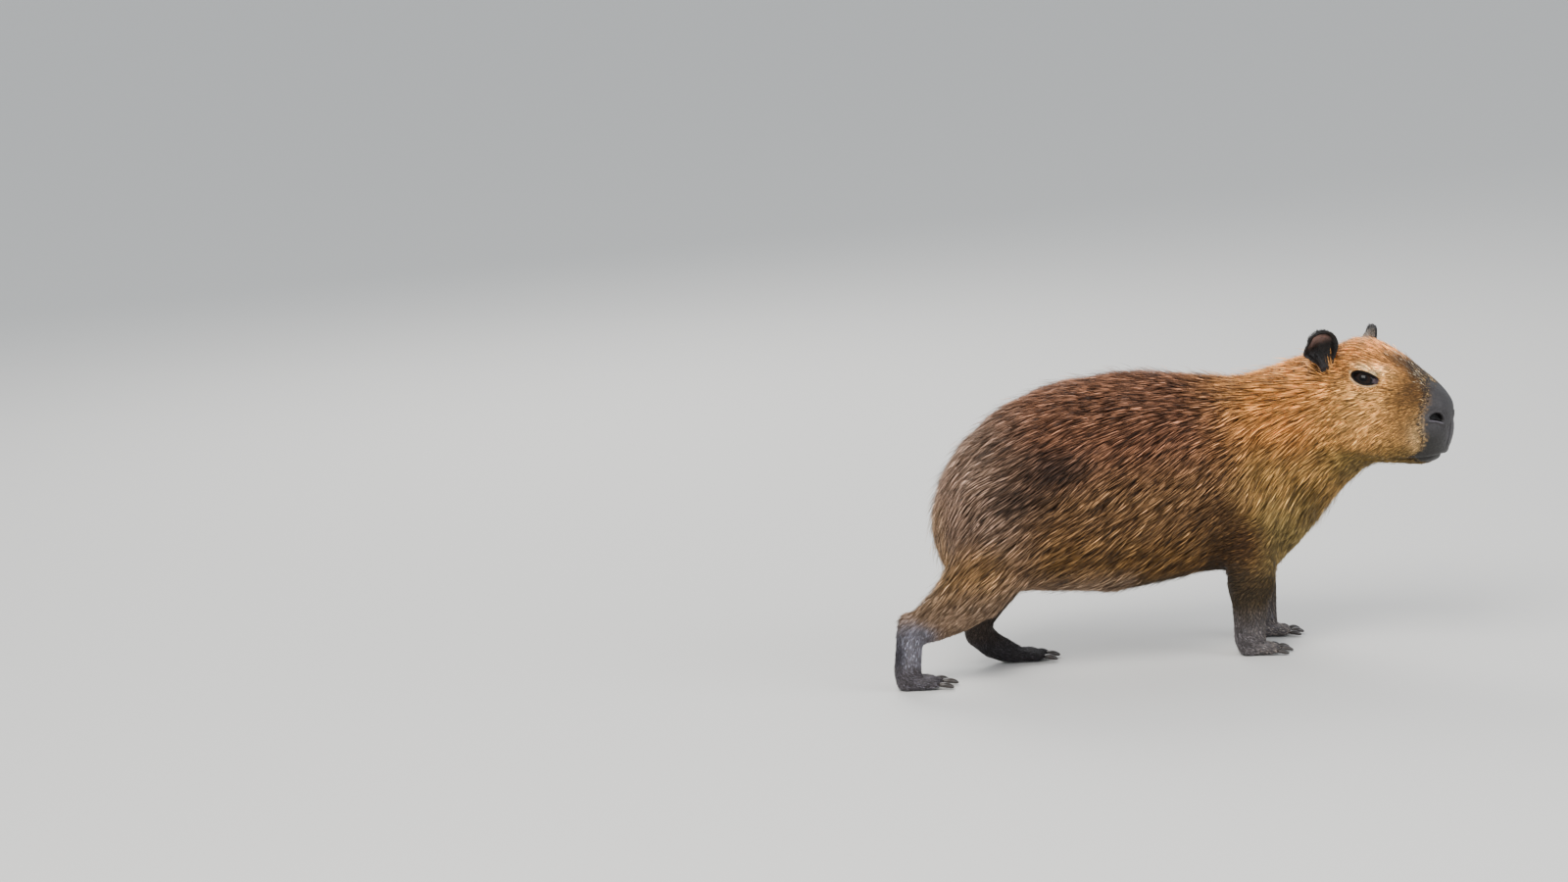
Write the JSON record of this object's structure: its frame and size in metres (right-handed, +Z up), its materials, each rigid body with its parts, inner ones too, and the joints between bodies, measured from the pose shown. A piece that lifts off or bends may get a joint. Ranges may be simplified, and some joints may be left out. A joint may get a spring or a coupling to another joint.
{
  "type": "capybara model",
  "caption": "Life-size still model of a young capybara walking with its head turned to the right, coat in overlapping locks, standing on its feet.",
  "frame": {"origin": "middle of the model's box, on the floor that it stands on", "axes": "+X forward along the back, towards the side that the head is on; +Y to the animal's left; +Z up"},
  "size_m": [0.829, 0.3468, 0.4916],
  "materials": {
    "body_coat": "coarse reddish-brown coat with dark streaks and golden tips, lying back",
    "face_coat": "short tan coat, pale round the eye, dark on the bridge of the nose",
    "ear_skin": "nearly bare dark skin with a soft sheen",
    "foot_skin": "dark grey-brown skin with sparse short hair",
    "eye": "very dark brown, wet and glossy",
    "claw": "dark blunt horn with a dull shine"
  },
  "bodies": {
    "root": {"torso": "body_coat", "tail": "body_coat", "neck": "body_coat", "head": "face_coat", "ear_right": "ear_skin", "ear_left": "ear_skin", "eye_right": "eye", "eye_left": "eye", "leg_front_right": "body_coat", "leg_front_left": "body_coat", "leg_hind_right": "body_coat", "leg_hind_left": "body_coat", "foot_front_right": "foot_skin", "foot_front_left": "foot_skin", "foot_hind_right": "foot_skin", "foot_hind_left": "foot_skin", "claw_front_right_1": "claw", "claw_front_right_2": "claw", "claw_front_right_3": "claw", "claw_front_right_4": "claw", "claw_front_left_1": "claw", "claw_front_left_2": "claw", "claw_front_left_3": "claw", "claw_front_left_4": "claw", "claw_hind_right_1": "claw", "claw_hind_right_2": "claw", "claw_hind_right_3": "claw", "claw_hind_left_1": "claw", "claw_hind_left_2": "claw", "claw_hind_left_3": "claw"}
  },
  "joints": []
}
